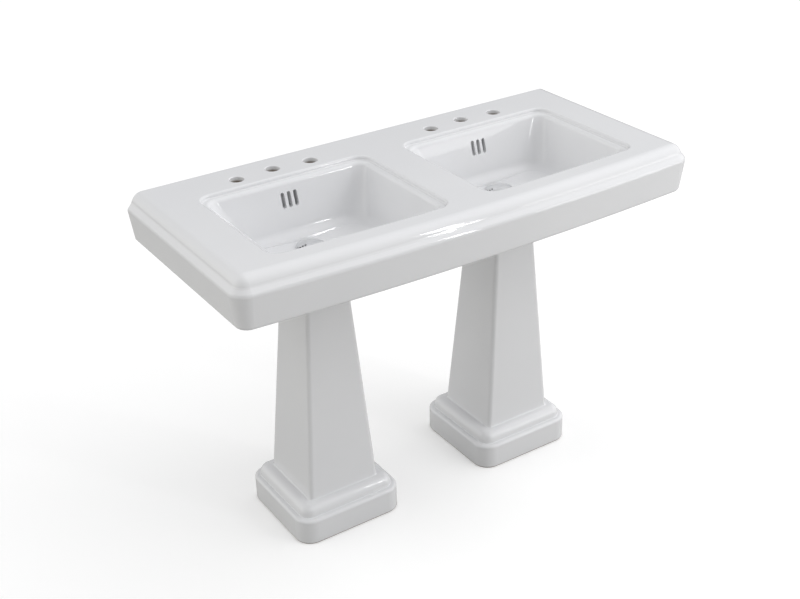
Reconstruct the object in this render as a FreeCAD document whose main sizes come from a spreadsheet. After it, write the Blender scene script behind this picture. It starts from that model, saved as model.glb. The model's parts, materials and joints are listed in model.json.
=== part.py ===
import FreeCAD, Part
import math
import os
import Sketcher

Vector = FreeCAD.Vector

# Millimetres, +Z up, +X along the basin, +Y to the wall, origin at the middle of the base.
SIZES = [
    ("width", 1260, "width over the ends of the apron"),
    ("depth", 575, "wall to the middle of the bowed front"),
    ("rim_height", 885, "floor to the deck"),
    ("bow", 23, "how far the front bows out between its ends"),
    ("corner", 41, "plan radius of the front corners"),
    ("apron_height", 122.5, "deck down to the bottom of the apron"),
    ("rim_drop", 23.5, "deck down to the crease of the rim moulding"),
    ("rim_inset", 11, "width of the bevel below the crease"),
    ("rim_lean", 10, "how far the side of the rim leans in at the deck"),
    ("rim_round", 29, "large round at the top of the rim"),
    ("ledge_round", 10, "round where the bevel turns into the apron"),
    ("ledge_cove", 16, "wide cove in the crease"),
    ("apron_draft", 13, "how far the apron leans in at its bottom"),
    ("apron_round", 11, "round at the bottom of the apron"),
    ("shell", 23, "wall thickness of apron and back"),
    ("deck", 20, "thickness of the deck"),
    ("under_round", 11, "round inside the hollow underside"),
    ("bowl_pitch", 558, "distance between the bowl centres"),
    ("lip_half", 226.5, "half width of a bowl at its lip"),
    ("lip_back", 116, "wall to the back of the lip"),
    ("lip_front", 84, "front of the basin to the front of the lip"),
    ("lip_corner", 34, "plan radius of the lip corners"),
    ("lip_drop", 10, "drop from the deck to the lip's ledge"),
    ("lip_ledge", 14, "width of the lip's ledge"),
    ("lip_round", 6, "round at the top of the lip"),
    ("lip_cove", 3.5, "cove at the back of the ledge"),
    ("lip_edge", 12, "round at the inner edge of the ledge"),
    ("bowl_depth", 136, "deck down to the rim of the bowl floor"),
    ("bowl_slope", 0.3, "how far a bowl wall leans in per unit of depth"),
    ("mouth_corner", 27, "plan radius of a bowl's corners at the ledge"),
    ("floor_corner", 58, "plan radius of the bowl floor corners"),
    ("floor_round", 26, "round between bowl walls and floor"),
    ("floor_fall", 6, "fall of the bowl floor to the waste"),
    ("bowl_wall", 14, "wall thickness of a bowl"),
    ("bowl_under_round", 20, "round under a bowl"),
    ("waste_back", 232, "wall to the middle of the waste"),
    ("seat_half", 40, "half width of the flat seat round the waste"),
    ("seat_corner", 36, "plan radius of that seat"),
    ("waste_bore", 23.5, "radius of the hole for the waste"),
    ("boss_radius", 34, "radius of the boss under the waste"),
    ("boss_depth", 35, "depth of that boss below the seat"),
    ("tap_radius", 17.5, "radius of a tap hole"),
    ("tap_pitch", 100, "distance between tap holes"),
    ("tap_back", 71, "wall to the outer tap holes"),
    ("tap_stagger", 8, "how far the middle tap hole is set back"),
    ("tap_round", 3, "round at the mouth of a tap hole"),
    ("slot_width", 9.8, "width of an overflow slot"),
    ("slot_height", 37.5, "height of an overflow slot"),
    ("slot_pitch", 17, "distance between overflow slots"),
    ("slot_drop", 52.5, "deck down to the middle of the slots"),
    ("duct_half", 25, "half width of the overflow duct"),
    ("duct_depth", 17, "depth of the overflow duct"),
    ("duct_skin", 10, "wall thickness round the overflow duct"),
    ("duct_floor", 8, "underside of the boss up to the floor of the duct"),
    ("passage_half", 14, "half width of the passage from the duct to the waste"),
    ("merge", 3, "how far joined or cut shapes run into one another"),
    ("wall_hole_radius", 7, "radius of a wall bolt hole"),
    ("wall_hole_pitch", 280, "distance between a bowl's two wall bolt holes"),
    ("wall_hole_drop", 70, "deck down to the wall bolt holes"),
    ("base_half", 148, "half width of a pedestal base"),
    ("base_front", 373, "wall to the front of a pedestal base"),
    ("base_back", 85, "wall to the back of a pedestal base"),
    ("base_corner", 44, "plan radius of the base corners"),
    ("plinth_height", 70, "height of the plinth"),
    ("plinth_round", 8, "round at the top of the plinth"),
    ("plinth_foot_round", 4, "round at the foot of the plinth"),
    ("foot_inset", 15, "step from the plinth to the foot moulding"),
    ("foot_height", 99, "floor to the top of the foot moulding"),
    ("foot_round", 23, "large round of the foot moulding"),
    ("foot_cove", 4, "cove where the column meets its foot"),
    ("ledge_line", 2, "small cove where the foot moulding meets the plinth"),
    ("column_foot_half", 100, "half width of the column at its foot"),
    ("column_foot_front", 330, "wall to the front of the column at its foot"),
    ("column_foot_back", 128, "wall to the back of the column at its foot"),
    ("column_top_half", 53.5, "half width of the column at its top"),
    ("column_top_front", 299.5, "wall to the front of the column at its top"),
    ("column_top_back", 173, "wall to the back of the column at its top"),
    ("column_corner", 11, "radius of the column's upright edges"),
    ("column_wall", 13, "wall thickness of a column"),
    ("plinth_wall", 16, "wall thickness of a plinth"),
    ("hollow_corner", 8, "radius of the upright edges inside a column"),
    ("pad_height", 4, "thickness of the rubber pad on a pedestal"),
    ("pad_edge", 2, "how far the pad keeps in from the column's outside"),
    ("lug_height", 14, "thickness of a floor screw lug"),
    ("lug_half", 20, "half size of a floor screw lug"),
    ("lug_pitch", 216, "distance between the floor screws of a pedestal"),
    ("lug_back", 132, "wall to the floor screws"),
    ("lug_hole_radius", 4.5, "radius of a floor screw hole"),
    ("flange_radius", 36, "radius of the waste flange"),
    ("flange_height", 2.6, "thickness of the waste flange"),
    ("seat_radius", 28, "radius of the recess for the plug"),
    ("seat_lip", 1.5, "depth of the recess for the plug"),
    ("tail_radius", 21, "outside radius of the waste tail"),
    ("tail_bore", 17.5, "inside radius of the waste tail"),
    ("seat_chamfer", 2, "chamfers at the mouth of the waste"),
    ("spigot_radius", 20, "outside radius of the plain end of the waste"),
    ("spigot_length", 26, "length of the plain end of the waste"),
    ("thread_spare", 2, "thread left free below the back nut"),
    ("tail_window", 14, "width and height of an overflow window in the waste"),
    ("bridge_height", 8, "thickness of the bridge inside the waste"),
    ("bridge_half", 9, "half width of the bridge inside the waste"),
    ("bridge_drop", 45, "flange down to the bottom of the bridge"),
    ("seal_height", 1, "thickness of the ring under the flange"),
    ("seal_edge", 1, "how far a ring keeps in from the edge above it"),
    ("washer_height", 6, "thickness of the rubber washer"),
    ("washer_radius", 32, "outside radius of the rubber washer"),
    ("slip_height", 2, "thickness of the slip washer"),
    ("nut_height", 12, "thickness of the back nut"),
    ("nut_radius", 31, "corner radius of the back nut"),
    ("gap", 0.3, "clearance round screwed and pushed-in pieces"),
    ("cartridge_radius", 5.7, "radius of the click cartridge"),
    ("cartridge_head", 8.5, "corner radius of the cartridge head"),
    ("cartridge_head_height", 5, "height of the cartridge head"),
    ("cartridge_length", 26, "length of the cartridge below its head"),
    ("stem_radius", 3.95, "radius of the plug stem"),
    ("stem_gap", 0.05, "running clearance round the stem"),
    ("stem_reach", 21, "how far the stem goes down into the cartridge"),
    ("stem_spare", 2, "free depth of the bore below the stem"),
    ("stem_seat", 2, "how far the stem goes up into the cap"),
    ("cap_radius", 33, "radius of the plug cap"),
    ("cap_edge", 1.4, "thickness of the cap at its edge"),
    ("cap_crown", 6.5, "height of the cap's dome"),
    ("cap_boss", 20.7, "radius of the boss under the cap"),
    ("plug_seal_radius", 26.5, "outside radius of the plug's ring"),
    ("plug_seal_height", 2.5, "thickness of the plug's ring"),
]

doc = FreeCAD.newDocument("double_pedestal_sink")
sheet = doc.addObject("Spreadsheet::Sheet", "Sizes")
for row, (alias, number, note) in enumerate(SIZES, start=1):
    sheet.set(f"A{row}", note)
    sheet.set(f"B{row}", str(number))
    sheet.setAlias(f"B{row}", alias)
doc.recompute()

# Expressions that several pieces share.
WALL = "Sizes.depth / 2"
DRAFT = "(Sizes.apron_draft / (Sizes.apron_height - Sizes.rim_drop))"
LEAN_SIN = f"({DRAFT} / sqrt(1 + {DRAFT} ^ 2))"
LEAN_COS = f"(1 / sqrt(1 + {DRAFT} ^ 2))"
ROUND_OUT = f"((1 - {LEAN_SIN} * (1 - sqrt(2 - 2 * {LEAN_SIN}))) / {LEAN_COS} - 1)"
BEVEL = (
    f"((Sizes.rim_inset + Sizes.ledge_round * {ROUND_OUT}) / (1 - {LEAN_SIN})"
    f" + Sizes.merge / {LEAN_COS})"
)
TRIM = f"({BEVEL} - Sizes.rim_inset - Sizes.merge * (1 - {LEAN_SIN}) / {LEAN_COS})"
RIM_TOP_GAP = "(Sizes.rim_inset + Sizes.rim_lean)"
RIM_FOOT_GAP = "(Sizes.rim_inset - Sizes.rim_lean * Sizes.merge / Sizes.rim_drop)"
BOW_RADIUS = "(Sizes.width ^ 2 / 4 + Sizes.bow ^ 2) / (2 * Sizes.bow)"
BOW_MIDDLE = f"{BOW_RADIUS} - Sizes.depth / 2"
APRON_LEVEL = "Sizes.rim_height - Sizes.apron_height"
RIM_LEVEL = "Sizes.rim_height - Sizes.rim_drop"
APRON_TOP = f"{RIM_LEVEL} + Sizes.merge"
BEVEL_FOOT = f"{APRON_TOP} - {BEVEL} * {LEAN_COS}"
DECK_UNDER = "Sizes.rim_height - Sizes.deck"
LIP_LEVEL = "Sizes.rim_height - Sizes.lip_drop"
FLOOR_LEVEL = "Sizes.rim_height - Sizes.bowl_depth"
SEAT_LEVEL = f"{FLOOR_LEVEL} - Sizes.floor_fall"
BOWL_UNDER = f"{FLOOR_LEVEL} - Sizes.bowl_wall"
BOSS_UNDER = f"{SEAT_LEVEL} - Sizes.boss_depth"
PAD_LEVEL = f"{BOWL_UNDER} - Sizes.pad_height"
FLANGE_LEVEL = f"{SEAT_LEVEL} + Sizes.seal_height"
PLUG_LEVEL = f"{FLANGE_LEVEL} + Sizes.flange_height - Sizes.seat_lip"
CAP_LEVEL = f"{PLUG_LEVEL} + Sizes.plug_seal_height"
DUCT_FOOT = f"{BOSS_UNDER} + Sizes.duct_floor"
BRIDGE_LEVEL = f"{FLANGE_LEVEL} - Sizes.bridge_drop"
WASHER_LEVEL = f"{BOSS_UNDER} - Sizes.washer_height"
SLIP_LEVEL = f"{WASHER_LEVEL} - Sizes.slip_height"
NUT_LEVEL = f"{SLIP_LEVEL} - Sizes.nut_height"
WASTE_Y = f"{WALL} - Sizes.waste_back"

SIDES = (("left", "-1"), ("right", "1"))


def value(expression):
    """The number an expression gives with the sizes in the sheet."""
    result = sheet.evalExpression(expression)
    return float(getattr(result, "Value", result))


def bowl_x(sign):
    return f"{sign} * Sizes.bowl_pitch / 2"


def lean(level):
    """How far a bowl wall has leaned in from the ledge's inner edge at a level."""
    return f"(({LIP_LEVEL}) - ({level})) * Sizes.bowl_slope"


def new_body(label):
    body = doc.addObject("PartDesign::Body", label)
    body.Label = label
    return body


def sketch_on(body, name, plane, offset):
    """A sketch on one of the body's origin planes, moved along the plane's normal."""
    sketch = body.newObject("Sketcher::SketchObject", name)
    origin = [item for item in body.Origin.OriginFeatures if item.Role == plane]
    sketch.AttachmentSupport = (origin[0], [""])
    sketch.MapMode = "FlatFace"
    sketch.setExpression("AttachmentOffset.Base.z", offset)
    return sketch


def bind(sketch, constraint, name, expression):
    index = sketch.addConstraint(constraint)
    sketch.renameConstraint(index, name)
    sketch.setExpression(f"Constraints.{name}", expression)


def arc(x, y, radius, start, end):
    circle = Part.Circle(Vector(x, y, 0), Vector(0, 0, 1), radius)
    return Part.ArcOfCircle(circle, start, end)


def line(x0, y0, x1, y1):
    return Part.LineSegment(Vector(x0, y0, 0), Vector(x1, y1, 0))


def join(sketch, count, sharp=()):
    """Closes a chain of edges: tangent joints, or plain corners after the edges named in sharp."""
    for edge in range(count):
        follower = (edge + 1) % count
        kind = "Coincident" if edge in sharp else "Tangent"
        sketch.addConstraint(Sketcher.Constraint(kind, edge, 2, follower, 1))


def place_sides(sketch, left, right, back, middle, half, back_y):
    """Holds an outline's two sides and its back edge."""
    sketch.addConstraint(Sketcher.Constraint("Horizontal", back))
    sketch.addConstraint(Sketcher.Constraint("Vertical", left))
    sketch.addConstraint(Sketcher.Constraint("Vertical", right))
    left_x = f"{middle} - ({half})"
    right_x = f"{middle} + {half}"
    bind(sketch, Sketcher.Constraint("DistanceX", -1, 1, left, 1, value(left_x)), "left", left_x)
    bind(sketch, Sketcher.Constraint("DistanceX", -1, 1, right, 1, value(right_x)), "right", right_x)
    bind(sketch, Sketcher.Constraint("DistanceY", -1, 1, back, 1, value(back_y)), "back", back_y)


def bowed_outline(body, name, level, middle, half, back_gap, front_gap, corner, square_back=False):
    """A level outline with a straight back, upright sides and a front parallel to the basin's bow."""
    sketch = sketch_on(body, name, "XY_Plane", level)
    back_y = f"{WALL} - ({back_gap})"
    front_radius = f"{BOW_RADIUS} - ({front_gap})"
    x0 = value(f"{middle} - ({half})")
    x1 = value(f"{middle} + {half}")
    y1 = value(back_y)
    radius = value(corner)
    reach = value(front_radius)
    bow_y = value(BOW_MIDDLE)
    back_radius = 0 if square_back else radius
    left_y = bow_y - math.sqrt((reach - radius) ** 2 - (x0 + radius) ** 2)
    right_y = bow_y - math.sqrt((reach - radius) ** 2 - (x1 - radius) ** 2)
    left_turn = math.atan2(left_y - bow_y, x0 + radius)
    right_turn = math.atan2(right_y - bow_y, x1 - radius)
    turn = 2 * math.pi

    edges = [line(x1 - back_radius, y1, x0 + back_radius, y1)]
    if not square_back:
        edges.append(arc(x0 + radius, y1 - radius, radius, math.pi / 2, math.pi))
    left = len(edges)
    edges.append(line(x0, y1 - back_radius, x0, left_y))
    edges.append(arc(x0 + radius, left_y, radius, math.pi, left_turn + turn))
    edges.append(arc(0, bow_y, reach, left_turn, right_turn))
    edges.append(arc(x1 - radius, right_y, radius, right_turn + turn, turn))
    right = len(edges)
    edges.append(line(x1, right_y, x1, y1 - back_radius))
    if not square_back:
        edges.append(arc(x1 - radius, y1 - radius, radius, 0, math.pi / 2))
    sketch.addGeometry(edges, False)

    sharp = (0, right) if square_back else ()
    join(sketch, len(edges), sharp)
    place_sides(sketch, left, right, 0, middle, half, back_y)
    front = left + 2
    corners = [left + 1, left + 3]
    if not square_back:
        corners += [1, right + 1]
    for other in corners[1:]:
        sketch.addConstraint(Sketcher.Constraint("Equal", corners[0], other))
    bind(sketch, Sketcher.Constraint("Radius", corners[0], radius), "corner", corner)
    sketch.addConstraint(Sketcher.Constraint("PointOnObject", front, 3, -2))
    bind(sketch, Sketcher.Constraint("DistanceY", -1, 1, front, 3, bow_y), "bow_middle", BOW_MIDDLE)
    bind(sketch, Sketcher.Constraint("Radius", front, reach), "bow_radius", front_radius)
    return sketch


def straight_outline(body, name, level, middle, half, back_gap, front_gap, corner):
    """A level rounded rectangle; back_gap and front_gap are measured from the wall."""
    sketch = sketch_on(body, name, "XY_Plane", level)
    back_y = f"{WALL} - ({back_gap})"
    front_y = f"{WALL} - ({front_gap})"
    x0 = value(f"{middle} - ({half})")
    x1 = value(f"{middle} + {half}")
    y0 = value(front_y)
    y1 = value(back_y)
    radius = value(corner)
    quarter = math.pi / 2
    edges = [
        line(x1 - radius, y1, x0 + radius, y1),
        arc(x0 + radius, y1 - radius, radius, quarter, 2 * quarter),
        line(x0, y1 - radius, x0, y0 + radius),
        arc(x0 + radius, y0 + radius, radius, 2 * quarter, 3 * quarter),
        line(x0 + radius, y0, x1 - radius, y0),
        arc(x1 - radius, y0 + radius, radius, 3 * quarter, 4 * quarter),
        line(x1, y0 + radius, x1, y1 - radius),
        arc(x1 - radius, y1 - radius, radius, 0, quarter),
    ]
    sketch.addGeometry(edges, False)
    join(sketch, len(edges))
    place_sides(sketch, 2, 6, 0, middle, half, back_y)
    sketch.addConstraint(Sketcher.Constraint("Horizontal", 4))
    bind(sketch, Sketcher.Constraint("DistanceY", -1, 1, 4, 1, y0), "front", front_y)
    for other in (3, 5, 7):
        sketch.addConstraint(Sketcher.Constraint("Equal", 1, other))
    bind(sketch, Sketcher.Constraint("Radius", 1, radius), "corner", corner)
    return sketch


def polygon(body, name, plane, offset, points):
    """A closed outline of straight edges through points given as pairs of expressions."""
    sketch = sketch_on(body, name, plane, offset)
    spots = [(value(across), value(along)) for across, along in points]
    count = len(spots)
    for index in range(count):
        x0, y0 = spots[index]
        x1, y1 = spots[(index + 1) % count]
        sketch.addGeometry(line(x0, y0, x1, y1), False)
    join(sketch, count, range(count))
    for index, (across, along) in enumerate(points):
        x0, y0 = spots[index]
        bind(sketch, Sketcher.Constraint("DistanceX", -1, 1, index, 1, x0), f"across_{index}", across)
        bind(sketch, Sketcher.Constraint("DistanceY", -1, 1, index, 1, y0), f"along_{index}", along)
    return sketch


def box_points(across_from, across_to, along_from, along_to):
    return [
        (across_from, along_from),
        (across_to, along_from),
        (across_to, along_to),
        (across_from, along_to),
    ]


def circles(body, name, plane, offset, spots, radius):
    """Round holes of one radius at spots given as pairs of expressions."""
    sketch = sketch_on(body, name, plane, offset)
    for index, (across, along) in enumerate(spots):
        middle = Vector(value(across), value(along), 0)
        sketch.addGeometry(Part.Circle(middle, Vector(0, 0, 1), value(radius)), False)
        sideways = Sketcher.Constraint("DistanceX", -1, 1, index, 3, middle.x)
        forwards = Sketcher.Constraint("DistanceY", -1, 1, index, 3, middle.y)
        bind(sketch, sideways, f"across_{index}", across)
        bind(sketch, forwards, f"along_{index}", along)
        bind(sketch, Sketcher.Constraint("Radius", index, value(radius)), f"radius_{index}", radius)
    return sketch


def feature(body, kind, name, sketch, length, reverse=False):
    item = body.newObject(f"PartDesign::{kind}", name)
    item.Profile = sketch
    item.Reversed = reverse
    item.setExpression("Length", length)
    doc.recompute()
    return item


def loft(body, kind, name, first, second):
    item = body.newObject(f"PartDesign::{kind}Loft", name)
    item.Profile = first
    item.Sections = [second]
    item.Ruled = True
    doc.recompute()
    return item


def revolve(body, name, sketch):
    item = body.newObject("PartDesign::Revolution", name)
    item.Profile = sketch
    item.ReferenceAxis = (sketch, ["V_Axis"])
    item.Angle = 360
    doc.recompute()
    return item


def middle_of(edge):
    return edge.valueAt((edge.FirstParameter + edge.LastParameter) / 2)


def flat_edges(base, level, wanted=None):
    """Names of the edges lying at one level, and picked by wanted if it is given."""
    height = value(level)
    names = []
    for index, edge in enumerate(base.Shape.Edges, start=1):
        heights = [vertex.Z for vertex in edge.Vertexes] + [middle_of(edge).z]
        if max(abs(item - height) for item in heights) > 0.01:
            continue
        if wanted is None or wanted(middle_of(edge)):
            names.append(f"Edge{index}")
    return names


def deep_edges(base, level, below):
    """Names of the edges at one level that bound a face reaching down below another level."""
    limit = value(below)
    steep = []
    for face in base.Shape.Faces:
        if face.BoundBox.ZMin < limit:
            steep += face.Edges
    names = []
    for name in flat_edges(base, level):
        edge = base.Shape.getElement(name)
        if any(edge.isSame(item) for item in steep):
            names.append(name)
    return names


def fillet(body, name, base, edges, radius):
    item = body.newObject("PartDesign::Fillet", name)
    item.Base = (base, edges)
    item.setExpression("Radius", radius)
    doc.recompute()
    return item


def chamfer(body, name, base, edges, size):
    item = body.newObject("PartDesign::Chamfer", name)
    item.Base = (base, edges)
    item.setExpression("Size", size)
    doc.recompute()
    return item


def lean_in(body, name, base, level, wanted):
    """Leans the upright faces picked by wanted inwards below a level."""
    height = value(level)
    upright = []
    for index, face in enumerate(base.Shape.Faces, start=1):
        box = face.BoundBox
        if box.ZLength < 0.01:
            if abs(box.ZMax - height) < 0.01:
                neutral = f"Face{index}"
        elif wanted(face.CenterOfMass):
            upright.append(f"Face{index}")
    item = body.newObject("PartDesign::Draft", name)
    item.Base = (base, upright)
    item.NeutralPlane = (base, [neutral])
    item.Reversed = True
    item.setExpression("Angle", f"atan({DRAFT})")
    doc.recompute()
    return item


def ring(label, sign, level, height, outside, inside):
    """A flat ring round a waste, made of two plain cylinders."""
    outer = doc.addObject("Part::Cylinder", f"{label}_outer")
    inner = doc.addObject("Part::Cylinder", f"{label}_inner")
    for item, radius in ((outer, outside), (inner, inside)):
        item.setExpression("Radius", radius)
        item.setExpression("Height", height)
        place_at_waste(item, sign, level)
    return cut(label, outer, inner)


def place_at_waste(item, sign, level):
    item.setExpression("Placement.Base.x", bowl_x(sign))
    item.setExpression("Placement.Base.y", WASTE_Y)
    item.setExpression("Placement.Base.z", level)


def cut(label, base, tool):
    item = doc.addObject("Part::Cut", label)
    item.Base = base
    item.Tool = tool
    item.Label = label
    doc.recompute()
    return item


def make_basin():
    body = new_body("basin")
    half = "Sizes.width / 2"
    wall_y = value(WALL)

    def off_wall(point):
        return point.y < wall_y - 0.01

    # Apron and rim moulding.
    outline = bowed_outline(
        body, "apron_outline", APRON_LEVEL, "0", f"{half} + {TRIM}", "0", f"0 - {TRIM}",
        f"Sizes.corner + {TRIM}", True,
    )
    apron = feature(body, "Pad", "apron", outline, f"{APRON_TOP} - ({APRON_LEVEL})")
    apron = lean_in(body, "apron_draft", apron, APRON_TOP, off_wall)
    bevel = chamfer(body, "rim_bevel", apron, flat_edges(apron, APRON_TOP, off_wall), BEVEL)
    apron_top = fillet(body, "apron_top", bevel, flat_edges(bevel, BEVEL_FOOT, off_wall), "Sizes.ledge_round")
    apron_foot = fillet(
        body, "apron_foot", apron_top, flat_edges(apron_top, APRON_LEVEL, off_wall), "Sizes.apron_round"
    )
    sections = []
    for place, level, gap in (
        ("foot", f"{RIM_LEVEL} - Sizes.merge", RIM_FOOT_GAP),
        ("top", "Sizes.rim_height", RIM_TOP_GAP),
    ):
        sections.append(bowed_outline(
            body, f"rim_{place}_outline", level, "0", f"{half} - {gap}", "0 - Sizes.merge", gap,
            f"Sizes.corner - {gap}", True,
        ))
    rim = loft(body, "Additive", "rim", sections[0], sections[1])
    outline = polygon(
        body, "wall_trim_outline", "XY_Plane", "Sizes.rim_height",
        box_points(f"0 - {half}", half, WALL, f"{WALL} + 2 * Sizes.merge"),
    )
    rim = feature(body, "Pocket", "wall_trim", outline, "Sizes.rim_drop + 2 * Sizes.merge")
    rim_top = fillet(body, "rim_top", rim, flat_edges(rim, "Sizes.rim_height", off_wall), "Sizes.rim_round")
    limit = value(f"{half} - Sizes.rim_inset")
    bow_y = value(BOW_MIDDLE)
    reach = value(f"{BOW_RADIUS} - Sizes.rim_inset")
    corner_x = value(f"{half} - Sizes.corner")

    def behind_ledge(point):
        on_side = abs(abs(point.x) - limit) < 0.01
        on_front = abs(math.hypot(point.x, point.y - bow_y) - reach) < 0.01
        at_corner = corner_x < abs(point.x) < limit
        return off_wall(point) and (on_side or on_front or at_corner)

    rim_cove = fillet(
        body, "rim_cove", rim_top, flat_edges(rim_top, RIM_LEVEL, behind_ledge), "Sizes.ledge_cove"
    )

    # Hollow underside.
    outline = bowed_outline(
        body, "under_outline", APRON_LEVEL, "0", f"{half} - Sizes.shell", "Sizes.shell", "Sizes.shell",
        "Sizes.corner - Sizes.shell",
    )
    under = feature(
        body, "Pocket", "underside", outline, f"({DECK_UNDER}) - ({APRON_LEVEL})", True
    )
    last = fillet(body, "underside_round", under, flat_edges(under, DECK_UNDER), "Sizes.under_round")

    # Bowl shells with their overflow ducts, added below the deck.
    shell_top = f"{DECK_UNDER} + Sizes.merge"
    for side, sign in SIDES:
        middle = bowl_x(sign)
        sections = []
        for place, level, corner in (
            ("top", shell_top, "Sizes.lip_corner"),
            ("foot", BOWL_UNDER, "Sizes.floor_corner"),
        ):
            inward = f"Sizes.lip_ledge + {lean(level)} - Sizes.bowl_wall"
            sections.append(bowed_outline(
                body, f"shell_{place}_{side}", level, middle, f"Sizes.lip_half - ({inward})",
                f"Sizes.lip_back + {inward}", f"Sizes.lip_front + {inward}", corner,
            ))
        last = loft(body, "Additive", f"shell_{side}", sections[0], sections[1])
    last = fillet(body, "shell_round", last, flat_edges(last, BOWL_UNDER), "Sizes.bowl_under_round")
    for side, sign in SIDES:
        middle = bowl_x(sign)
        half_hump = "Sizes.duct_half + Sizes.duct_skin"
        sections = []
        for place, level in (("top", shell_top), ("foot", BOSS_UNDER)):
            wall_gap = f"Sizes.lip_back + Sizes.lip_ledge + {lean(level)}"
            sections.append(polygon(
                body, f"hump_{place}_{side}", "XY_Plane", level,
                box_points(
                    f"{middle} - ({half_hump})", f"{middle} + {half_hump}",
                    f"{WALL} - ({wall_gap} - Sizes.merge)",
                    f"{WALL} - ({wall_gap} - 2 * Sizes.duct_skin - Sizes.duct_depth)",
                ),
            ))
        last = loft(body, "Additive", f"hump_{side}", sections[0], sections[1])
        boss_height = f"{BOWL_UNDER} + Sizes.bowl_wall / 2 - ({BOSS_UNDER})"
        boss = circles(
            body, f"boss_outline_{side}", "XY_Plane", BOSS_UNDER, [(middle, WASTE_Y)], "Sizes.boss_radius"
        )
        last = feature(body, "Pad", f"boss_{side}", boss, boss_height)
        foot_gap = f"Sizes.lip_back + Sizes.lip_ledge + {lean(BOSS_UNDER)}"
        outline = polygon(
            body, f"duct_foot_outline_{side}", "XY_Plane", BOSS_UNDER,
            box_points(
                f"{middle} - Sizes.boss_radius", f"{middle} + Sizes.boss_radius", WASTE_Y,
                f"{WALL} - ({foot_gap} - Sizes.duct_skin)",
            ),
        )
        last = feature(body, "Pad", f"duct_foot_{side}", outline, boss_height)

    # Lips, bowls and the fall of their floors.
    for side, sign in SIDES:
        outline = bowed_outline(
            body, f"lip_outline_{side}", "Sizes.rim_height", bowl_x(sign), "Sizes.lip_half", "Sizes.lip_back",
            "Sizes.lip_front", "Sizes.lip_corner",
        )
        last = feature(body, "Pocket", f"lip_{side}", outline, "Sizes.lip_drop")
    last = fillet(body, "lip_cove", last, flat_edges(last, LIP_LEVEL), "Sizes.lip_cove")
    rim_flat = value(f"{half} - {RIM_TOP_GAP} - Sizes.rim_round") - 1
    front_flat = value(f"{BOW_RADIUS} - {RIM_TOP_GAP} - Sizes.rim_round") - 1

    def inside_rim(point):
        reached = math.hypot(point.x, point.y - bow_y)
        return abs(point.x) < rim_flat and reached < front_flat and off_wall(point)

    last = fillet(
        body, "lip_round", last, flat_edges(last, "Sizes.rim_height", inside_rim), "Sizes.lip_round"
    )
    for side, sign in SIDES:
        sections = []
        for place, level, corner in (
            ("mouth", LIP_LEVEL, "Sizes.mouth_corner"),
            ("floor", FLOOR_LEVEL, "Sizes.floor_corner"),
        ):
            inward = f"Sizes.lip_ledge + {lean(level)}"
            sections.append(bowed_outline(
                body, f"bowl_{place}_{side}", level, bowl_x(sign), f"Sizes.lip_half - ({inward})",
                f"Sizes.lip_back + {inward}", f"Sizes.lip_front + {inward}", corner,
            ))
        last = loft(body, "Subtractive", f"bowl_{side}", sections[0], sections[1])
    last = fillet(body, "floor_round", last, flat_edges(last, FLOOR_LEVEL), "Sizes.floor_round")
    last = fillet(body, "mouth_round", last, deep_edges(last, LIP_LEVEL, DECK_UNDER), "Sizes.lip_edge")
    for side, sign in SIDES:
        middle = bowl_x(sign)
        inward = f"Sizes.lip_ledge + {lean(FLOOR_LEVEL)} + Sizes.floor_round * 0.8"
        floor = bowed_outline(
            body, f"floor_outline_{side}", FLOOR_LEVEL, middle, f"Sizes.lip_half - ({inward})",
            f"Sizes.lip_back + {inward}", f"Sizes.lip_front + {inward}",
            "Sizes.floor_corner - Sizes.floor_round * 0.8",
        )
        seat = straight_outline(
            body, f"seat_outline_{side}", SEAT_LEVEL, middle, "Sizes.seat_half",
            "Sizes.waste_back - Sizes.seat_half", "Sizes.waste_back + Sizes.seat_half", "Sizes.seat_corner",
        )
        last = loft(body, "Subtractive", f"floor_{side}", floor, seat)

    # Waste holes, overflow ducts and slots.
    for side, sign in SIDES:
        middle = bowl_x(sign)
        hole = circles(
            body, f"waste_outline_{side}", "XY_Plane", SEAT_LEVEL, [(middle, WASTE_Y)], "Sizes.waste_bore"
        )
        last = feature(body, "Pocket", f"waste_hole_{side}", hole, "Sizes.boss_depth + Sizes.merge")
        sections = []
        slot_level = "Sizes.rim_height - Sizes.slot_drop"
        duct_top = f"{slot_level} + Sizes.slot_height / 2 + Sizes.merge"
        for place, level in (("top", duct_top), ("foot", DUCT_FOOT)):
            wall_gap = f"Sizes.lip_back + Sizes.lip_ledge + {lean(level)} - Sizes.duct_skin"
            sections.append(polygon(
                body, f"duct_{place}_{side}", "XY_Plane", level,
                box_points(
                    f"{middle} - Sizes.duct_half", f"{middle} + Sizes.duct_half",
                    f"{WALL} - ({wall_gap})", f"{WALL} - ({wall_gap} - Sizes.duct_depth)",
                ),
            ))
        last = loft(body, "Subtractive", f"duct_{side}", sections[0], sections[1])
        duct_front = f"Sizes.lip_back + Sizes.lip_ledge + {lean(DUCT_FOOT)} - Sizes.duct_skin"
        outline = polygon(
            body, f"passage_outline_{side}", "XY_Plane", DUCT_FOOT,
            box_points(
                f"{middle} - Sizes.passage_half", f"{middle} + Sizes.passage_half", WASTE_Y,
                f"{WALL} - ({duct_front} - Sizes.duct_depth / 2)",
            ),
        )
        last = feature(body, "Pocket", f"passage_{side}", outline, "Sizes.tail_window", True)
        slot_lean = lean(f"{slot_level} + Sizes.slot_height / 2")
        slot_start = lean(f"{slot_level} - Sizes.slot_height / 2")
        start_gap = f"Sizes.lip_back + Sizes.lip_ledge + {slot_start} + Sizes.merge"
        end_gap = f"Sizes.lip_back + Sizes.lip_ledge + {slot_lean} - Sizes.duct_skin - Sizes.merge"
        last = cut_slots(body, side, middle, slot_level, start_gap, end_gap)

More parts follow.
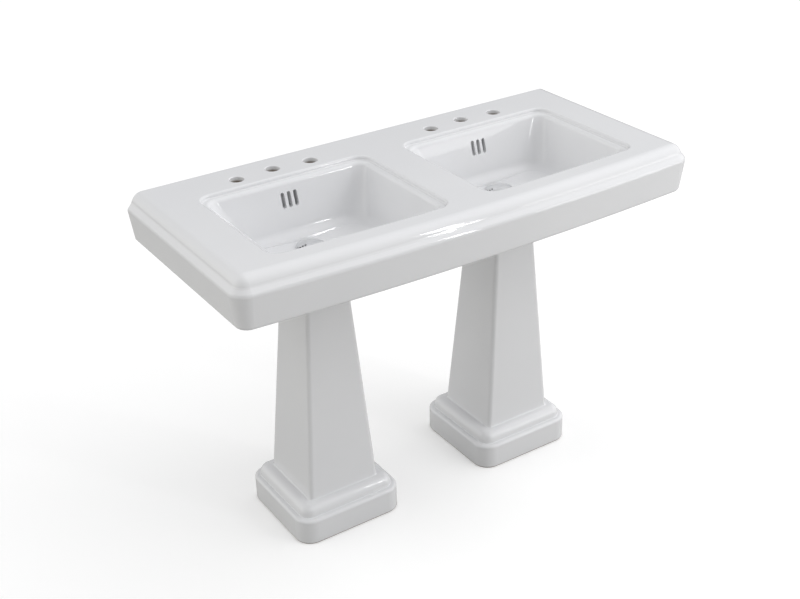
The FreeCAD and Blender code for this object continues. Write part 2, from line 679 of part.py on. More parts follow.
    # Tap holes and wall bolt holes.
    spots = []
    bolts = []
    for side, sign in SIDES:
        middle = bowl_x(sign)
        outer_y = f"{WALL} - Sizes.tap_back"
        spots.append((f"{middle} - Sizes.tap_pitch", outer_y))
        spots.append((middle, f"{outer_y} + Sizes.tap_stagger"))
        spots.append((f"{middle} + Sizes.tap_pitch", outer_y))
        for hand in ("-", "+"):
            bolt_x = f"{middle} {hand} Sizes.wall_hole_pitch / 2"
            bolts.append((bolt_x, "Sizes.rim_height - Sizes.wall_hole_drop"))
    taps = circles(body, "tap_outline", "XY_Plane", "Sizes.rim_height", spots, "Sizes.tap_radius")
    last = feature(body, "Pocket", "tap_holes", taps, "Sizes.deck + Sizes.merge")
    tap_line = value(f"{WALL} - Sizes.tap_back - Sizes.tap_radius") - 1

    def at_tap(point):
        return tap_line < point.y < wall_y - 5

    last = fillet(body, "tap_round", last, flat_edges(last, "Sizes.rim_height", at_tap), "Sizes.tap_round")
    holes = circles(
        body, "bolt_outline", "XZ_Plane", f"0 - ({WALL} - Sizes.shell - Sizes.merge)", bolts,
        "Sizes.wall_hole_radius",
    )
    feature(body, "Pocket", "wall_bolt_holes", holes, "Sizes.shell + 2 * Sizes.merge")
    return body


def cut_slots(body, side, middle, level, start_gap, end_gap):
    """Three upright round-ended overflow slots through the back wall of a bowl."""
    sketch = sketch_on(body, f"slot_outline_{side}", "XZ_Plane", f"0 - ({WALL} - ({start_gap}))")
    radius = value("Sizes.slot_width / 2")
    rise = value("Sizes.slot_height / 2 - Sizes.slot_width / 2")
    height = value(level)
    for number, shift in enumerate(("- Sizes.slot_pitch", "+ 0", "+ Sizes.slot_pitch")):
        slot_x = f"{middle} {shift}"
        x = value(slot_x)
        first = 4 * number
        edges = [
            arc(x, height + rise, radius, 0, math.pi),
            line(x - radius, height + rise, x - radius, height - rise),
            arc(x, height - rise, radius, math.pi, 2 * math.pi),
            line(x + radius, height - rise, x + radius, height + rise),
        ]
        sketch.addGeometry(edges, False)
        for edge in range(4):
            follower = first + (edge + 1) % 4
            sketch.addConstraint(Sketcher.Constraint("Tangent", first + edge, 2, follower, 1))
        sketch.addConstraint(Sketcher.Constraint("Vertical", first + 1))
        top = f"{level} + Sizes.slot_height / 2 - Sizes.slot_width / 2"
        foot = f"{level} - Sizes.slot_height / 2 + Sizes.slot_width / 2"
        bind(sketch, Sketcher.Constraint("DistanceX", -1, 1, first, 3, x), f"across_{number}", slot_x)
        bind(sketch, Sketcher.Constraint("DistanceY", -1, 1, first, 3, height + rise), f"top_{number}", top)
        lower = Sketcher.Constraint("DistanceY", -1, 1, first + 2, 3, height - rise)
        bind(sketch, lower, f"foot_{number}", foot)
        bind(sketch, Sketcher.Constraint("Radius", first, radius), f"radius_{number}", "Sizes.slot_width / 2")
    return feature(body, "Pocket", f"slots_{side}", sketch, f"({start_gap}) - ({end_gap})")


def make_pedestal(side, sign):
    body = new_body(f"pedestal_{side}")
    middle = bowl_x(sign)

    # Plinth and foot moulding.
    outline = straight_outline(
        body, f"plinth_outline_{side}", "0", middle, "Sizes.base_half", "Sizes.base_back", "Sizes.base_front",
        "Sizes.base_corner",
    )
    last = feature(body, "Pad", f"plinth_{side}", outline, "Sizes.plinth_height")
    last = fillet(
        body, f"plinth_top_{side}", last, flat_edges(last, "Sizes.plinth_height"), "Sizes.plinth_round"
    )
    last = fillet(body, f"plinth_foot_{side}", last, flat_edges(last, "0"), "Sizes.plinth_foot_round")
    outline = straight_outline(
        body, f"foot_outline_{side}", "Sizes.plinth_height", middle, "Sizes.base_half - Sizes.foot_inset",
        "Sizes.base_back + Sizes.foot_inset", "Sizes.base_front - Sizes.foot_inset",
        "Sizes.base_corner - Sizes.foot_inset",
    )
    last = feature(body, "Pad", f"foot_{side}", outline, "Sizes.foot_height - Sizes.plinth_height")
    last = fillet(
        body, f"foot_round_{side}", last, flat_edges(last, "Sizes.foot_height"), "Sizes.foot_round"
    )
    axis = value(middle)
    round_in = value("Sizes.base_corner - Sizes.foot_inset")
    half_wide = value("Sizes.base_half - Sizes.foot_inset") - round_in
    half_deep = value("(Sizes.base_front - Sizes.base_back) / 2 - Sizes.foot_inset") - round_in
    centre = value(f"{WALL} - (Sizes.base_front + Sizes.base_back) / 2")

    def at_foot(point):
        across = max(abs(point.x - axis) - half_wide, 0)
        along = max(abs(point.y - centre) - half_deep, 0)
        return abs(math.hypot(across, along) - round_in) < 1

    last = fillet(
        body, f"ledge_line_{side}", last, flat_edges(last, "Sizes.plinth_height", at_foot), "Sizes.ledge_line"
    )

    # Tapered column.
    foot = straight_outline(
        body, f"column_foot_{side}", "Sizes.foot_height", middle, "Sizes.column_foot_half",
        "Sizes.column_foot_back", "Sizes.column_foot_front", "Sizes.column_corner",
    )
    top = straight_outline(
        body, f"column_top_{side}", PAD_LEVEL, middle, "Sizes.column_top_half", "Sizes.column_top_back",
        "Sizes.column_top_front", "Sizes.column_corner",
    )
    last = loft(body, "Additive", f"column_{side}", foot, top)
    reach = value("Sizes.column_foot_half") + 1
    front = value(f"{WALL} - Sizes.column_foot_front") - 1
    back = value(f"{WALL} - Sizes.column_foot_back") + 1

    def at_column(point):
        return abs(point.x - axis) < reach and front < point.y < back

    last = fillet(
        body, f"column_cove_{side}", last, flat_edges(last, "Sizes.foot_height", at_column), "Sizes.foot_cove"
    )

    # Hollow inside, open at the back.
    wall = "Sizes.column_wall"
    chamber_wall = "Sizes.plinth_wall"
    outline = straight_outline(
        body, f"chamber_outline_{side}", "0", middle, f"Sizes.base_half - {chamber_wall}",
        f"Sizes.base_back + {chamber_wall}", f"Sizes.base_front - {chamber_wall}",
        f"Sizes.base_corner - {chamber_wall}",
    )
    last = feature(body, "Pocket", f"chamber_{side}", outline, f"Sizes.plinth_height - {chamber_wall}", True)
    foot = straight_outline(
        body, f"hollow_foot_{side}", f"Sizes.plinth_height - {chamber_wall} - Sizes.merge", middle,
        f"Sizes.column_foot_half - {wall}", f"Sizes.column_foot_back + {wall}",
        f"Sizes.column_foot_front - {wall}", "Sizes.hollow_corner",
    )
    top = straight_outline(
        body, f"hollow_top_{side}", PAD_LEVEL, middle, f"Sizes.column_top_half - {wall}",
        f"Sizes.column_top_back + {wall}", f"Sizes.column_top_front - {wall}", "Sizes.hollow_corner",
    )
    last = loft(body, "Subtractive", f"hollow_{side}", foot, top)
    foot_half = f"(Sizes.column_foot_half - 2 * {wall})"
    top_half = f"(Sizes.column_top_half - {wall} - Sizes.gap)"
    outline = polygon(
        body, f"opening_outline_{side}", "XZ_Plane", f"0 - ({WASTE_Y})",
        [
            (f"{middle} - {foot_half}", "0 - Sizes.merge"),
            (f"{middle} + {foot_half}", "0 - Sizes.merge"),
            (f"{middle} + {top_half}", f"{PAD_LEVEL} + Sizes.merge"),
            (f"{middle} - {top_half}", f"{PAD_LEVEL} + Sizes.merge"),
        ],
    )
    last = feature(body, "Pocket", f"opening_{side}", outline, "Sizes.waste_back")

    # Lugs for the floor screws.
    spots = []
    lug_y = f"{WALL} - Sizes.lug_back"
    for hand, into in (("-", "+"), ("+", "-")):
        lug_x = f"{middle} {hand} Sizes.lug_pitch / 2"
        outside = f"{middle} {hand} (Sizes.base_half - {chamber_wall} + Sizes.merge)"
        spots.append((lug_x, lug_y))
        outline = polygon(
            body, f"lug_outline_{side}_{len(spots)}", "XY_Plane", "0",
            box_points(
                f"{lug_x} {into} Sizes.lug_half", outside, f"{lug_y} - Sizes.lug_half",
                f"{lug_y} + Sizes.lug_half",
            ),
        )
        last = feature(body, "Pad", f"lug_{side}_{len(spots)}", outline, "Sizes.lug_height")
    holes = circles(body, f"screw_outline_{side}", "XY_Plane", "0", spots, "Sizes.lug_hole_radius")
    feature(body, "Pocket", f"screw_holes_{side}", holes, "Sizes.lug_height + Sizes.merge", True)
    return body


def make_pad(side, sign):
    """Rubber pad, open at the back like the pedestal under it."""
    body = new_body(f"pedestal_pad_{side}")
    middle = bowl_x(sign)
    outer = "(Sizes.column_top_half - Sizes.pad_edge)"
    inner = "(Sizes.column_top_half - Sizes.column_wall)"
    back = f"{WALL} - Sizes.column_top_back - Sizes.pad_edge"
    front = f"{WALL} - Sizes.column_top_front + Sizes.pad_edge"
    inner_front = f"{WALL} - Sizes.column_top_front + Sizes.column_wall"
    outline = polygon(
        body, f"pad_outline_{side}", "XY_Plane", PAD_LEVEL,
        [
            (f"{middle} - {outer}", back),
            (f"{middle} - {outer}", front),
            (f"{middle} + {outer}", front),
            (f"{middle} + {outer}", back),
            (f"{middle} + {inner}", back),
            (f"{middle} + {inner}", inner_front),
            (f"{middle} - {inner}", inner_front),
            (f"{middle} - {inner}", back),
        ],
    )
    feature(body, "Pad", f"pad_{side}", outline, "Sizes.pad_height")
    return body


def waste_piece(label, sign):
    """A body whose own Z axis is the middle of a waste."""
    body = new_body(label)
    body.setExpression("Placement.Base.x", bowl_x(sign))
    body.setExpression("Placement.Base.y", WASTE_Y)
    return body


def make_waste_body(side, sign):
    body = waste_piece(f"waste_body_{side}", sign)
    thread_foot = f"{NUT_LEVEL} - Sizes.thread_spare"
    foot = f"{thread_foot} - Sizes.spigot_length"
    top = f"{FLANGE_LEVEL} + Sizes.flange_height"
    profile = polygon(
        body, f"waste_profile_{side}", "XZ_Plane", "0",
        [
            ("Sizes.tail_bore", foot),
            ("Sizes.spigot_radius", foot),
            ("Sizes.spigot_radius", thread_foot),
            ("Sizes.tail_radius", thread_foot),
            ("Sizes.tail_radius", FLANGE_LEVEL),
            ("Sizes.flange_radius", FLANGE_LEVEL),
            ("Sizes.flange_radius", f"{FLANGE_LEVEL} + Sizes.flange_height / 2"),
            ("Sizes.seat_radius + Sizes.seat_chamfer", top),
            ("Sizes.seat_radius", top),
            ("Sizes.seat_radius", PLUG_LEVEL),
            ("Sizes.tail_bore + Sizes.seat_chamfer", PLUG_LEVEL),
            ("Sizes.tail_bore", f"{PLUG_LEVEL} - Sizes.seat_chamfer"),
        ],
    )
    revolve(body, f"waste_turned_{side}", profile)
    outline = polygon(
        body, f"window_outline_{side}", "XZ_Plane", "0 - Sizes.tail_radius - Sizes.merge",
        box_points(
            "0 - Sizes.tail_window / 2", "Sizes.tail_window / 2",
            DUCT_FOOT, f"{DUCT_FOOT} + Sizes.tail_window",
        ),
    )
    feature(body, "Pocket", f"windows_{side}", outline, "2 * (Sizes.tail_radius + Sizes.merge)", True)
    reach = "(Sizes.tail_bore + Sizes.tail_radius) / 2"
    outline = polygon(
        body, f"bridge_outline_{side}", "XY_Plane", BRIDGE_LEVEL,
        box_points(f"0 - ({reach})", reach, "0 - Sizes.bridge_half", "Sizes.bridge_half"),
    )
    feature(body, "Pad", f"bridge_{side}", outline, "Sizes.bridge_height")
    hole = circles(
        body, f"bridge_hole_outline_{side}", "XY_Plane", BRIDGE_LEVEL, [("0", "0")],
        "Sizes.cartridge_radius + Sizes.gap",
    )
    feature(body, "Pocket", f"bridge_hole_{side}", hole, "Sizes.bridge_height + Sizes.merge", True)
    return body


def make_back_nut(side, sign):
    label = f"back_nut_{side}"
    outer = doc.addObject("Part::Prism", f"{label}_outer")
    outer.Polygon = 6
    outer.setExpression("Circumradius", "Sizes.nut_radius")
    outer.setExpression("Height", "Sizes.nut_height")
    inner = doc.addObject("Part::Cylinder", f"{label}_inner")
    inner.setExpression("Radius", "Sizes.tail_radius + Sizes.gap")
    inner.setExpression("Height", "Sizes.nut_height")
    for item in (outer, inner):
        place_at_waste(item, sign, NUT_LEVEL)
    return cut(label, outer, inner)


def make_cartridge(side, sign):
    body = waste_piece(f"click_cartridge_{side}", sign)
    seat = f"{BRIDGE_LEVEL} + Sizes.bridge_height"
    top = f"{seat} + Sizes.cartridge_head_height"
    bore_foot = f"{top} - Sizes.stem_reach - Sizes.stem_spare"
    profile = polygon(
        body, f"cartridge_profile_{side}", "XZ_Plane", "0",
        [
            ("0", f"{seat} - Sizes.cartridge_length"),
            ("Sizes.cartridge_radius", f"{seat} - Sizes.cartridge_length"),
            ("Sizes.cartridge_radius", seat),
            ("Sizes.cartridge_head", seat),
            ("Sizes.cartridge_head", f"{top} - Sizes.seat_chamfer"),
            ("Sizes.cartridge_head - Sizes.seat_chamfer", top),
            ("Sizes.stem_radius + Sizes.stem_gap", top),
            ("Sizes.stem_radius + Sizes.stem_gap", bore_foot),
            ("0", bore_foot),
        ],
    )
    revolve(body, f"cartridge_turned_{side}", profile)
    return body


def make_stem(side, sign):
    stem = doc.addObject("Part::Cylinder", f"plug_stem_{side}")
    stem.Label = f"plug_stem_{side}"
    foot = f"{BRIDGE_LEVEL} + Sizes.bridge_height + Sizes.cartridge_head_height - Sizes.stem_reach"
    stem.setExpression("Radius", "Sizes.stem_radius")
    stem.setExpression("Height", f"{CAP_LEVEL} + Sizes.stem_seat - ({foot})")
    place_at_waste(stem, sign, foot)
    doc.recompute()
    return stem


def make_cap(side, sign):
    """Domed cap with a boss below that carries the ring and takes the stem."""
    body = waste_piece(f"plug_cap_{side}", sign)
    sketch = sketch_on(body, f"cap_profile_{side}", "XZ_Plane", "0")
    radius = value("Sizes.cap_radius")
    boss = value("Sizes.cap_boss")
    hole = value("Sizes.stem_radius + Sizes.gap")
    under = value(CAP_LEVEL)
    boss_foot_expression = f"{CAP_LEVEL} - Sizes.plug_seal_height + Sizes.gap"
    boss_foot = value(boss_foot_expression)
    edge_top = value(f"{CAP_LEVEL} + Sizes.cap_edge")
    crown = value(f"{CAP_LEVEL} + Sizes.cap_crown")
    hole_top = value(f"{CAP_LEVEL} + Sizes.stem_seat")
    rise = crown - edge_top
    dome = (radius ** 2 + rise ** 2) / (2 * rise)
    spots = [
        (0, crown, "0", f"{CAP_LEVEL} + Sizes.cap_crown"),
        (0, hole_top, "0", f"{CAP_LEVEL} + Sizes.stem_seat"),
        (hole, hole_top, "Sizes.stem_radius + Sizes.gap", f"{CAP_LEVEL} + Sizes.stem_seat"),
        (hole, boss_foot, "Sizes.stem_radius + Sizes.gap", boss_foot_expression),
        (boss, boss_foot, "Sizes.cap_boss", boss_foot_expression),
        (boss, under, "Sizes.cap_boss", CAP_LEVEL),
        (radius, under, "Sizes.cap_radius", CAP_LEVEL),
        (radius, edge_top, "Sizes.cap_radius", f"{CAP_LEVEL} + Sizes.cap_edge"),
    ]
    for index in range(len(spots) - 1):
        sketch.addGeometry(line(*spots[index][:2], *spots[index + 1][:2]), False)
    start = math.atan2(edge_top - (crown - dome), radius)
    sketch.addGeometry(arc(0, crown - dome, dome, start, math.pi / 2), False)
    last = len(spots) - 1
    join(sketch, len(spots), range(len(spots)))
    for index, (across, along, across_expression, along_expression) in enumerate(spots):
        sideways = Sketcher.Constraint("DistanceX", -1, 1, index, 1, across)
        upwards = Sketcher.Constraint("DistanceY", -1, 1, index, 1, along)
        bind(sketch, sideways, f"across_{index}", across_expression)
        bind(sketch, upwards, f"along_{index}", along_expression)
    sketch.addConstraint(Sketcher.Constraint("PointOnObject", last, 3, -2))
    revolve(body, f"cap_turned_{side}", sketch)
    return body


nodes = [make_basin()]
for side, sign in SIDES:
    nodes.append(make_pedestal(side, sign))
    nodes.append(make_pad(side, sign))
    nodes.append(make_waste_body(side, sign))
    nodes.append(ring(
        f"flange_seal_{side}", sign, SEAT_LEVEL, "Sizes.seal_height", "Sizes.flange_radius - Sizes.seal_edge",
        "Sizes.waste_bore + Sizes.seal_edge",
    ))
    nodes.append(ring(
        f"under_washer_{side}", sign, WASHER_LEVEL, "Sizes.washer_height", "Sizes.washer_radius",
        "Sizes.tail_radius + Sizes.gap",
    ))
    nodes.append(ring(
        f"slip_washer_{side}", sign, SLIP_LEVEL, "Sizes.slip_height", "Sizes.washer_radius - Sizes.seal_edge",
        "Sizes.tail_radius + Sizes.gap",
    ))
    nodes.append(make_back_nut(side, sign))
    nodes.append(make_cartridge(side, sign))
    nodes.append(make_stem(side, sign))
    nodes.append(make_cap(side, sign))
    nodes.append(ring(
        f"plug_seal_{side}", sign, PLUG_LEVEL, "Sizes.plug_seal_height", "Sizes.plug_seal_radius",
        "Sizes.cap_boss + Sizes.gap",
    ))
doc.recompute()

for item in doc.Objects:
    if "Invalid" in item.State or "Error" in item.State:
        raise RuntimeError(f"{item.Label} did not build: {item.State}")

os.makedirs("parts", exist_ok=True)
for node in nodes:
    shape = node.Shape
    if shape.isNull() or not shape.isValid():
        raise RuntimeError(f"{node.Label} has no sound shape")
    shape.exportStep(f"parts/{node.Label}.step")
    print(f"{node.Label}: {len(shape.Solids)} solid, {shape.Volume / 1000:.1f} cm3")
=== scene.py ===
import json
import math

import bpy
from mathutils import Matrix, Vector


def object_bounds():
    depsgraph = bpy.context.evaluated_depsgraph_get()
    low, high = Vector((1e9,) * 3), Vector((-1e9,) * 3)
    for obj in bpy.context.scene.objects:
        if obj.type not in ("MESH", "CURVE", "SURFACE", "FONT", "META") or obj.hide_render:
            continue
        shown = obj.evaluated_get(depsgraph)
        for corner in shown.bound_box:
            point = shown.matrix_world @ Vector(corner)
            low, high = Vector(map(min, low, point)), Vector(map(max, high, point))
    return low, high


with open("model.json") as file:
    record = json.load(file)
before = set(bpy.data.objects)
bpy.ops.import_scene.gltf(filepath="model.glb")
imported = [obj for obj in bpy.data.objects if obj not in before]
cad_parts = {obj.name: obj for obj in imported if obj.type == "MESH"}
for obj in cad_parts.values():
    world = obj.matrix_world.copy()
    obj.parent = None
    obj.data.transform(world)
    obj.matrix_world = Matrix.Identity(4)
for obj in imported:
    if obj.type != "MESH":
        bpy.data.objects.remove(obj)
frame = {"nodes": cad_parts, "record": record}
cad_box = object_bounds()
scene = bpy.context.scene
nodes = frame["nodes"]
mounts = {mount["name"]: mount for mount in frame["record"]["mounts"]}
MM = 0.001


# Helpers for node trees

def new_finish(name):
    """A node material: itself, its tree, its shader and the object's own coordinates."""
    material = bpy.data.materials.new(name)
    material.use_nodes = True
    tree = material.node_tree
    shader = tree.nodes["Principled BSDF"]
    place = tree.nodes.new("ShaderNodeTexCoord").outputs["Object"]
    return material, tree, shader, place


def add(tree, kind, inputs=None, **settings):
    """One node with its settings and inputs: a socket is linked, anything else is a plain value."""
    node = tree.nodes.new(kind)
    for name, setting in settings.items():
        setattr(node, name, setting)
    for name, given in (inputs or {}).items():
        socket = node.inputs[name]
        if isinstance(given, bpy.types.NodeSocket):
            tree.links.new(given, socket)
        else:
            socket.default_value = given
    return node


def noise(tree, place, scale, detail=2.0, rough=0.5):
    """A cloudy pattern, most of it between 0.3 and 0.7."""
    made = add(
        tree, "ShaderNodeTexNoise",
        {"Vector": place, "Scale": scale, "Detail": detail, "Roughness": rough},
    )
    return made.outputs["Fac"]


def span(tree, fac, low, high, start=0.3, end=0.7):
    """Carries a pattern from start and end to low and high, and holds it there beyond them."""
    made = add(
        tree, "ShaderNodeMapRange",
        {"Value": fac, "From Min": start, "From Max": end, "To Min": low, "To Max": high},
    )
    return made.outputs["Result"]


def tint(tree, fac, first, second):
    """A colour between two: each is a socket or a plain colour."""
    made = add(tree, "ShaderNodeMix", data_type="RGBA")
    sockets = {socket.name: socket for socket in made.inputs if socket.enabled}
    tree.links.new(fac, sockets["Factor"])
    for name, given in (("A", first), ("B", second)):
        if isinstance(given, bpy.types.NodeSocket):
            tree.links.new(given, sockets[name])
        else:
            sockets[name].default_value = (*given, 1)
    return [socket for socket in made.outputs if socket.enabled][0]


def work(tree, operation, first, second=0.0):
    """One sum on plain numbers or sockets."""
    return add(tree, "ShaderNodeMath", {0: first, 1: second}, operation=operation).outputs["Value"]


def bump(tree, height, depth, strength, under=None):
    """A surface raised by a pattern, on top of another one if given."""
    inputs = {"Height": height, "Distance": depth, "Strength": strength}
    if under is not None:
        inputs["Normal"] = under
    return add(tree, "ShaderNodeBump", inputs).outputs["Normal"]


# Glaze: in the tap holes it ends GLAZE_DEPTH below the deck and fades over GLAZE_RUN.
# What is more than DECK_REACH below the deck is no wall of a tap hole.

GLAZE_DEPTH = 0.008
GLAZE_RUN = 0.005
DECK_REACH = 0.022
HOLE_SPARE = 0.0004
FOOT_BARE = 0.0035


def bare_body(tree, place):
    """1 on the unglazed fireclay: low on the walls of the tap holes and on the ring under each foot."""
    spout = mounts["tap_spout_right"]
    handles = mounts["tap_handles_right"]
    bowl_x, spout_y = spout["pos_m"][:2]
    handle_x = handles["dims"]["spacing_x_mm"] / 2 * MM
    handle_y = handles["pos_m"][1]
    hole = spout["dims"]["r_mm"] * MM + HOLE_SPARE
    deck = cad_box[1][2]
    spot = add(tree, "ShaderNodeSeparateXYZ", {"Vector": place}).outputs
    across = work(tree, "ABSOLUTE", work(tree, "SUBTRACT", work(tree, "ABSOLUTE", spot["X"]), bowl_x))
    holes = 0.0
    for hole_x, hole_y in ((0.0, spout_y), (handle_x, handle_y)):
        aside = work(tree, "POWER", work(tree, "SUBTRACT", across, hole_x), 2.0)
        along = work(tree, "POWER", work(tree, "SUBTRACT", spot["Y"], hole_y), 2.0)
        far = work(tree, "SQRT", work(tree, "ADD", aside, along))
        holes = work(tree, "MAXIMUM", holes, work(tree, "LESS_THAN", far, hole))
    glaze_end = deck - GLAZE_DEPTH
    low = span(tree, spot["Z"], 1.0, 0.0, start=glaze_end - GLAZE_RUN, end=glaze_end)
    low = work(tree, "MULTIPLY", low, work(tree, "GREATER_THAN", spot["Z"], deck - DECK_REACH))
    foot = work(tree, "LESS_THAN", spot["Z"], FOOT_BARE)
    return work(tree, "MAXIMUM", work(tree, "MULTIPLY", holes, low), foot)


def glaze():
    """White gloss glaze with slow waves, a fine skin and faint drifts of tone; bare clay where it ends."""
    dull_white, clear_white = (0.775, 0.778, 0.788), (0.800, 0.801, 0.808)
    dark_clay, light_clay = (0.190, 0.155, 0.122), (0.290, 0.240, 0.195)
    clay_rough = 0.8
    glass_index = 1.52
    material, tree, shader, place = new_finish("white_glaze")
    drift = span(tree, noise(tree, place, scale=3.0, detail=3.0), 0, 1)
    grog = span(tree, noise(tree, place, scale=800.0, detail=3.0), 0, 1)
    bare = bare_body(tree, place)
    white = tint(tree, drift, dull_white, clear_white)
    clay = tint(tree, grog, dark_clay, light_clay)
    tree.links.new(tint(tree, bare, white, clay), shader.inputs["Base Color"])
    film = span(tree, noise(tree, place, scale=55.0, detail=4.0, rough=0.6), low=0.035, high=0.075)
    rough = work(tree, "MAXIMUM", film, work(tree, "MULTIPLY", bare, clay_rough))
    tree.links.new(rough, shader.inputs["Roughness"])
    waves = bump(tree, noise(tree, place, scale=9.0, detail=1.0), depth=0.0006, strength=0.25)
    skin = bump(tree, noise(tree, place, scale=420.0), depth=0.00006, strength=0.12, under=waves)
    tree.links.new(skin, shader.inputs["Normal"])
    shader.inputs["IOR"].default_value = glass_index
    return material


# Metal, rubber and plastic

def chrome():
    """Polished plate with fine wiping marks and a dried water film."""
    dull, bright = (0.74, 0.745, 0.75), (0.84, 0.845, 0.85)
    material, tree, shader, place = new_finish("polished_chrome")
    film = noise(tree, place, scale=90.0, detail=4.0, rough=0.65)
    tree.links.new(tint(tree, span(tree, film, 0, 1), dull, bright), shader.inputs["Base Color"])
    tree.links.new(span(tree, film, low=0.03, high=0.11), shader.inputs["Roughness"])
    marks = bump(tree, noise(tree, place, scale=900.0), depth=0.00003, strength=0.1)
    tree.links.new(marks, shader.inputs["Normal"])
    shader.inputs["Metallic"].default_value = 1.0
    return material


def brass():
    """Turned brass with fine tool rings and a dull bloom."""
    dull, bright = (0.62, 0.45, 0.20), (0.78, 0.62, 0.33)
    material, tree, shader, place = new_finish("turned_brass")
    bloom = noise(tree, place, scale=60.0, detail=4.0, rough=0.6)
    tree.links.new(tint(tree, span(tree, bloom, 0, 1), dull, bright), shader.inputs["Base Color"])
    tree.links.new(span(tree, bloom, low=0.42, high=0.22), shader.inputs["Roughness"])
    rings = add(
        tree, "ShaderNodeTexWave", {"Vector": place, "Scale": 300.0, "Distortion": 0.6},
        bands_direction="Z",
    ).outputs["Fac"]
    tree.links.new(bump(tree, rings, depth=0.00008, strength=0.35), shader.inputs["Normal"])
    shader.inputs["Metallic"].default_value = 1.0
    return material


def rubber():
    """Moulded black rubber with a grey bloom."""
    black, grey = (0.022, 0.022, 0.024), (0.055, 0.054, 0.053)
    material, tree, shader, place = new_finish("moulded_rubber")
    bloom = noise(tree, place, scale=40.0, detail=5.0, rough=0.65)
    tree.links.new(tint(tree, span(tree, bloom, 0, 1), black, grey), shader.inputs["Base Color"])
    tree.links.new(span(tree, bloom, low=0.6, high=0.8), shader.inputs["Roughness"])
    grain = bump(tree, noise(tree, place, scale=700.0, detail=3.0), depth=0.0001, strength=0.3)
    tree.links.new(grain, shader.inputs["Normal"])
    return material


def nylon():
    """Pale slip washer, satin from its mould."""
    dull, pale = (0.66, 0.65, 0.60), (0.76, 0.75, 0.71)
    material, tree, shader, place = new_finish("pale_nylon")
    cloud = noise(tree, place, scale=70.0, detail=3.0)
    tree.links.new(tint(tree, span(tree, cloud, 0, 1), dull, pale), shader.inputs["Base Color"])
    tree.links.new(span(tree, cloud, low=0.38, high=0.52), shader.inputs["Roughness"])
    grain = bump(tree, noise(tree, place, scale=600.0), depth=0.00008, strength=0.2)
    tree.links.new(grain, shader.inputs["Normal"])
    return material


FINISHES = {
    "ceramic": glaze(),
    "chrome": chrome(),
    "brass": brass(),
    "rubber": rubber(),
    "plastic": nylon(),
}
for part in frame["record"]["subparts"]:
    mesh = nodes[part["node"]].data
    mesh.materials.clear()
    mesh.materials.append(FINISHES[part["material_slot"]])


# Floor

FLOOR_HALF = 100.0
FLOOR_ROUGH = 0.9


def level_sheet(name, level, tone, glow):
    """A matt sheet on the level, with a little light of its own."""
    corners = [(x * FLOOR_HALF, y * FLOOR_HALF, level) for x, y in ((-1, -1), (1, -1), (1, 1), (-1, 1))]
    mesh = bpy.data.meshes.new(name)
    mesh.from_pydata(corners, [], [(0, 1, 2, 3)])
    sheet = bpy.data.objects.new(name, mesh)
    scene.collection.objects.link(sheet)
    material, tree, shader, place = new_finish(name)
    shader.inputs["Base Color"].default_value = (*tone, 1)
    shader.inputs["Roughness"].default_value = FLOOR_ROUGH
    shader.inputs["Specular IOR Level"].default_value = 0.0
    shader.inputs["Emission Color"].default_value = (1, 1, 1, 1)
    shader.inputs["Emission Strength"].default_value = glow
    mesh.materials.append(material)
    return sheet


def pale_floor():
    """A white floor to look at, and just under it a greyer one that lights the sink from below."""
    seen = level_sheet("floor", level=0.0, tone=(0.80, 0.797, 0.790), glow=0.27)
    seen.visible_diffuse = False
    seen.visible_glossy = False
    seen.visible_shadow = False
    felt = level_sheet("floor_bounce", level=-0.002, tone=(0.52, 0.515, 0.50), glow=0.0)
    felt.visible_camera = False


# Light: each patch of the tent has a direction, the cosine where it begins and its strength in the middle

TENT_PATCHES = {
    "front right": ((0.50, -0.62, 0.60), 0.5, 0.48),
    "high right": ((0.80, -0.10, 0.59), 0.5, 0.84),
    "low right": ((0.93, -0.32, 0.20), 0.5, 0.40),
    "high left": ((-0.75, -0.05, 0.66), 0.5, 0.23),
    "low left": ((-0.97, 0.10, 0.20), 0.5, 0.22),
    "wide back left": ((-0.76, 0.63, 0.16), 0.0, 0.19),
    "low back left": ((-0.80, 0.60, 0.05), 0.6, 1.15),
}
TENT_OVERHEAD = 0.54
TENT_COOL = (0.980, 0.985, 1.0)
TENT_WARM = (1.0, 0.995, 0.955)
WARM_UP_TO = -0.7
COOL_FROM = 0.0


def softbox(name, place, aim, wide, high, power):
    """A rectangular area light that the camera doesn't see."""
    data = bpy.data.lights.new(name, "AREA")
    data.shape = "RECTANGLE"
    data.size = wide
    data.size_y = high
    data.energy = power
    lamp = bpy.data.objects.new(name, data)
    way = (Vector(aim) - Vector(place)).normalized()
    lamp.matrix_world = Matrix.Translation(place) @ way.to_track_quat("-Z", "Y").to_matrix().to_4x4()
    lamp.visible_camera = False
    scene.collection.objects.link(lamp)


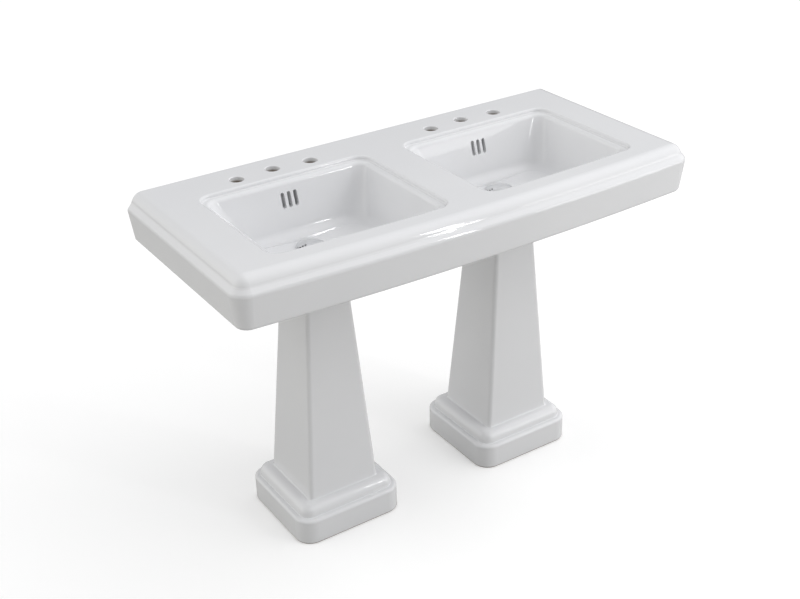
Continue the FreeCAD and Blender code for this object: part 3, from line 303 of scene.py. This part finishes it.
def studio_light():
    """A tent of soft light, brightest at the right and warm low at the left, with two softboxes."""
    world = bpy.data.worlds.new("studio")
    world.use_nodes = True
    tree = world.node_tree
    way = add(tree, "ShaderNodeTexCoord").outputs["Generated"]
    part = add(tree, "ShaderNodeSeparateXYZ", {"Vector": way}).outputs
    total = span(tree, part["Z"], low=0.0, high=TENT_OVERHEAD, start=0.0, end=1.0)
    for name, (toward, start, most) in TENT_PATCHES.items():
        facing = add(
            tree, "ShaderNodeVectorMath", {0: way, 1: toward}, operation="DOT_PRODUCT", label=name,
        ).outputs["Value"]
        total = work(tree, "ADD", total, span(tree, facing, low=0.0, high=most, start=start, end=1.0))
    back = tree.nodes["Background"]
    tree.links.new(total, back.inputs["Strength"])
    side = work(tree, "ADD", part["X"], part["Z"])
    side = span(tree, side, low=0.0, high=1.0, start=WARM_UP_TO, end=COOL_FROM)
    tree.links.new(tint(tree, side, TENT_WARM, TENT_COOL), back.inputs["Color"])
    scene.world = world
    softbox(
        "front_right_softbox", place=(1.27, -2.4, 1.85), aim=(-0.1, -0.3, 0.6),
        wide=0.20, high=0.8, power=8,
    )
    softbox(
        "low_right_panel", place=(1.9, -1.7, 0.95), aim=(0.3, -0.2, 0.75),
        wide=1.2, high=1.0, power=8,
    )


# Camera

def photo_camera():
    """A camera fitted to the photograph, with its focal length in pixels of the photograph."""
    picture_width = 800
    focal = 1265.28
    azimuth = math.radians(-32.6815)
    height = math.radians(28.3760)
    roll = math.radians(-1.6034)
    place = Vector((-1.5574, -2.3205, 2.0467))
    back = Vector((
        math.sin(azimuth) * math.cos(height), -math.cos(azimuth) * math.cos(height), math.sin(height),
    ))
    right = (-back).cross(Vector((0, 0, 1))).normalized()
    up = right.cross(-back)
    across = math.cos(roll) * right + math.sin(roll) * up
    upright = -math.sin(roll) * right + math.cos(roll) * up
    data = bpy.data.cameras.new("photo_camera")
    data.sensor_fit = "HORIZONTAL"
    data.sensor_width = 36.0
    data.lens = focal * data.sensor_width / picture_width
    camera = bpy.data.objects.new("photo_camera", data)
    turn = Matrix((across, upright, back)).transposed().to_4x4()
    camera.matrix_world = Matrix.Translation(place) @ turn
    scene.collection.objects.link(camera)
    scene.camera = camera


pale_floor()
studio_light()
photo_camera()
scene.view_settings.view_transform = "Standard"
